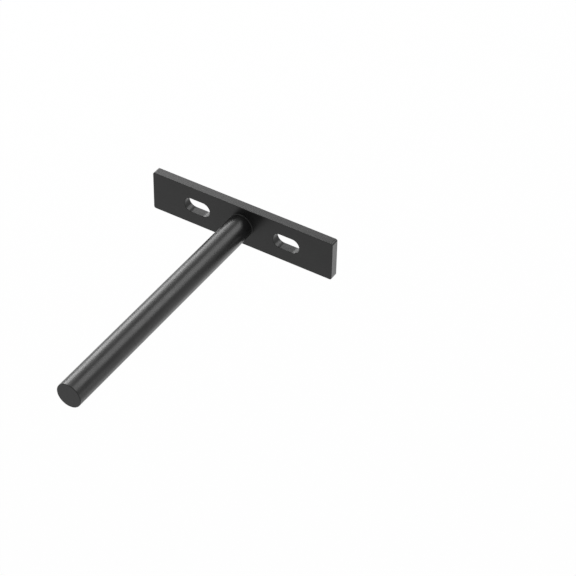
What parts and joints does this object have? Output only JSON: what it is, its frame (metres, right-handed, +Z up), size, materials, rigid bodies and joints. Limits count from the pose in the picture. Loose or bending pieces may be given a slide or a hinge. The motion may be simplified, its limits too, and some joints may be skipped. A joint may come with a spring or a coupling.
{
  "type": "floating shelf bracket",
  "caption": "Flat wall bar with level screw slots and a solid round rod that stands out square from its middle to carry a shelf.",
  "frame": {"origin": "middle of the plate's wall face, on the rod's axis", "axes": "+X along the plate, -Y along the rod away from the wall, +Z up"},
  "size_m": [0.0948, 0.1345, 0.0206],
  "materials": {
    "black_powder_coat": "satin, finely textured"
  },
  "bodies": {
    "root": {"wall_plate": "black_powder_coat", "support_rod": "black_powder_coat", "rear_weld": "black_powder_coat"}
  },
  "joints": []
}
